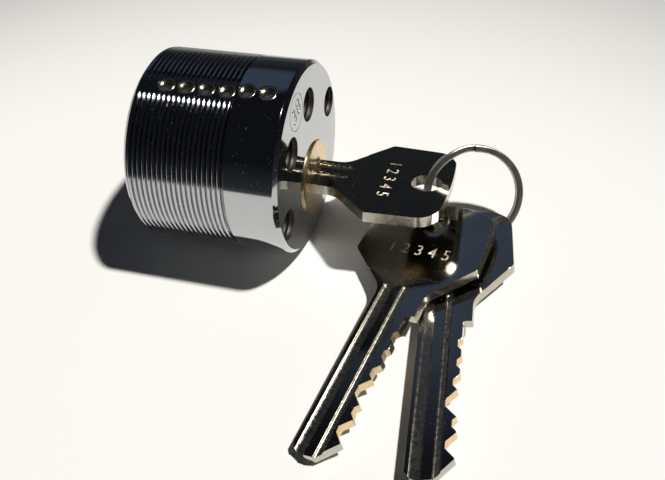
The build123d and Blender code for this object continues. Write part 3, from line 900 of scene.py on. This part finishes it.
def keyAxes(heading, climb, roll):
    # Ways towards the bow, towards the cuts, and out of the numbered side
    heading, climb, roll = radians(heading), radians(climb), radians(roll)
    toBow = Vector((cos(climb) * cos(heading), cos(climb) * sin(heading), sin(climb)))
    level = Vector((sin(heading), -cos(heading), 0))
    out = level.cross(toBow) * cos(roll) - level * sin(roll)
    return toBow, toBow.cross(out), out


def makeKey(node, s, rider, hole, *angles):
    toBow, toCuts, out = keyAxes(*angles)
    stop = Vector(hole) * mm - toBow * s["holeToStop"] * mm

    def paint(face):
        # 0 plated, 1 bare in the cuts, 2 satin on the grooves' floors, 3 sheared outline of the bow
        centre = face.calc_center_median() - stop
        along, across, deep = centre.dot(toBow) / mm, centre.dot(toCuts) / mm, abs(centre.dot(out)) / mm
        facing = abs(face.normal.dot(out))
        aslant, square = 0.3, 0.9  # cosines between a face and a direction
        (tip, root), (low, high) = s["cutsAlong"], s["cutsAcross"]
        inCuts = tip < along < root and low < across < high and deep < s["cutsHalf"]
        if inCuts and face.normal.dot(toCuts) > aslant:
            return 1
        if facing > square and deep < s["grooveFloor"]:
            return 2
        if facing < aslant and along > 0:
            return 3
        return 0

    def wear(point):
        # The small rounds at the bow's corners grow in place, as carrying and tumbling wear them
        place = point - stop
        along, across = place.dot(toBow) / mm, place.dot(toCuts) / mm
        for cornerAlong, cornerAcross, growth in s["bowCorners"]:
            off = along - cornerAlong, abs(across) - cornerAcross
            if hypot(*off) < s["cornerReach"]:
                side = 1 if across > 0 else -1
                return point + (toBow * off[0] + toCuts * side * off[1]) * (growth - 1) * mm
        return point

    metals = nickelPlate, bareCut, grooveNickel, shearedNickel
    key = softened(
        node, node + "_plated", s["edge"], *metals, paint=paint, scoop=s["grooveCorner"], wear=wear,
    )
    digits = bmesh.new()
    stand = Matrix((toCuts, toBow, out)).transposed().to_4x4()
    for number, digit in enumerate(s["text"]):
        across = s["textStart"] + number * s["textPitch"]
        stand.translation = stop + (toBow * s["textAlong"] + toCuts * across + out * s["halfBow"]) * mm
        joinInto(digits, textBuild(digit, s["textHeight"] * mm, s["textDepth"] * mm, stand))
    cutWith(key, "digits", digits, punchedDigit)
    finishPiece(key, rider, "nickel_silver", node, angle=40, flatSides=True)


for node, place in keyPlaces.items():
    makeKey(node, keyShape, *place)
print("keys made")

# Split ring: flat wire of two turns, with the step between them
ringShape = {
    "centre": (5.36, -36.43, -10.2), "normal": (-0.7485, -0.3688, 0.5511),
    "towardsStep": (0.4385, 0.3482, 0.8286),
    "radius": 9.32, "wireWidth": 1.36, "turnThickness": 0.78, "turnGap": 0.06, "edge": 0.26,
    "edgeSteps": 3, "stepAngle": 34.0, "points": 240,
}


def ringTree():
    # Line bent into two turns; its height steps up in the middle, then a section is swept along it
    tree, given = newTree(
        "splitRing", ("Radius", "Wire Width", "Thickness", "Half Rise", "Step Angle", "Edge"),
        ("Points", "Edge Steps"),
    )
    path = reshape(tree, given, pointLine(tree, given["Points"]), (
        ("half", "MULTIPLY", "Step Angle", 0.5),
        ("last", "SUBTRACT", 2 * tau, "half"),
        ("turn", "LINEAR", "wasX", 0.0, 1.0, "half", "last"),
        ("low", "MULTIPLY", "Half Rise", -1.0),
        ("stepStart", "SUBTRACT", tau, "half"),
        ("stepEnd", "ADD", "half", tau),
        ("z", "SMOOTHSTEP", "turn", "stepStart", "stepEnd", "low", "Half Rise"),
        ("cosine", "COSINE", "turn"),
        ("x", "MULTIPLY", "Radius", "cosine"),
        ("sine", "SINE", "turn"),
        ("y", "MULTIPLY", "Radius", "sine"),
    ))
    level = addNode(tree, "GeometryNodeSetCurveNormal", {"Curve": path}, mode="Z_UP")
    section = addNode(
        tree, "GeometryNodeCurvePrimitiveQuadrilateral",
        {"Width": given["Wire Width"], "Height": given["Thickness"]},
    )
    rounded = addNode(
        tree, "GeometryNodeFilletCurve",
        {"Curve": section, "Radius": given["Edge"], "Count": given["Edge Steps"]}, mode="POLY",
    )
    swept = addNode(
        tree, "GeometryNodeCurveToMesh", {"Curve": level, "Profile Curve": rounded, "Fill Caps": True},
    )
    return paintAndEnd(tree, swept, given)


def makeRing(s):
    ring = grown("key_ring_wire", ringTree(), {
        "Radius": s["radius"] * mm, "Wire Width": s["wireWidth"] * mm, "Thickness": s["turnThickness"] * mm,
        "Half Rise": (s["turnThickness"] + s["turnGap"]) / 2 * mm, "Step Angle": radians(s["stepAngle"]),
        "Edge": s["edge"] * mm, "Edge Steps": s["edgeSteps"], "Points": s["points"], "Metal": steelWire,
    })
    normal = Vector(s["normal"]).normalized()
    side = normal.cross(Vector(s["towardsStep"])).normalized()
    stand = Matrix((side.cross(normal), side, normal)).transposed().to_4x4()
    stand.translation = Vector(s["centre"]) * mm
    ring.data.transform(stand)
    finishPiece(ring, "ring", "nickel_plated_steel", "key_ring", angle=40)


makeRing(ringShape)
print("ring made")

# Springs above the driver pins: closed ends, open turns between
springShape = {
    "coilRadius": 1.24, "wireRadius": 0.17, "turns": 9.0, "pointsPerTurn": 28, "wireSteps": 8,
    "closedPitch": 2.1,  # of the end turns, in wire radii, so that they don't quite touch
    "play": 0.03, "foot": 5.82, "lift": 1.8,
}


def springTree():
    # Line bent into a helix with a flat turn at each end, then a round wire is swept along it
    tree, given = newTree(
        "coilSpring", ("Coil Radius", "Wire Radius", "Turns", "Length", "Closed Pitch"),
        ("Points", "Wire Steps"),
    )
    path = reshape(tree, given, pointLine(tree, given["Points"]), (
        ("done", "MULTIPLY", "wasX", "Turns"),
        ("closed", "MULTIPLY", "Wire Radius", "Closed Pitch"),
        ("last", "SUBTRACT", "Turns", 1.0),
        ("firstTurn", "MINIMUM", "done", 1.0),
        ("firstRise", "MULTIPLY", "firstTurn", "closed"),
        ("pastLast", "SUBTRACT", "done", "last"),
        ("lastTurn", "MAXIMUM", "pastLast", 0.0),
        ("lastRise", "MULTIPLY", "lastTurn", "closed"),
        ("bothClosed", "MULTIPLY", "closed", 2.0),
        ("openLength", "SUBTRACT", "Length", "bothClosed"),
        ("openRise", "LINEAR", "done", 1.0, "last", 0.0, "openLength"),
        ("closedRise", "ADD", "firstRise", "lastRise"),
        ("z", "ADD", "closedRise", "openRise"),
        ("turn", "MULTIPLY", "done", tau),
        ("cosine", "COSINE", "turn"),
        ("x", "MULTIPLY", "Coil Radius", "cosine"),
        ("sine", "SINE", "turn"),
        ("y", "MULTIPLY", "Coil Radius", "sine"),
    ))
    wire = addNode(
        tree, "GeometryNodeCurvePrimitiveCircle",
        {"Resolution": given["Wire Steps"], "Radius": given["Wire Radius"]},
    )
    swept = addNode(
        tree, "GeometryNodeCurveToMesh", {"Curve": path, "Profile Curve": wire, "Fill Caps": True},
    )
    return paintAndEnd(tree, swept, given)


def makeSprings(s, b):
    tree = springTree()
    stand = Matrix((rowSide, rowUp.cross(rowSide), rowUp)).transposed().to_4x4()
    for number, (y, floor) in enumerate(pinPlaces(b), 1):
        room = floor - s["foot"]
        spring = grown(f"pin_spring_{number}_coil", tree, {
            "Coil Radius": s["coilRadius"] * mm, "Wire Radius": s["wireRadius"] * mm, "Turns": s["turns"],
            "Length": (room - 2 * (s["play"] + s["wireRadius"])) * mm, "Closed Pitch": s["closedPitch"],
            "Points": int(s["turns"] * s["pointsPerTurn"]) + 1, "Wire Steps": s["wireSteps"],
            "Metal": springSteel,
        })
        start = s["foot"] + s["play"] + s["wireRadius"]
        stand.translation = Vector((0, y, 0)) + rowUp * start * mm
        spring.data.transform(stand)
        finishPiece(spring, "body", "spring_steel", f"pin_spring_{number}", angle=50)
        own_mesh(spring)


makeSprings(springShape, bodyShape)
print("springs made")

# Pins keep their CAD shape
for name, obj in nodes.items():
    if "_pin_" in name:
        obj.data.materials.clear()
        obj.data.materials.append(turnedPin)
print("pins painted")
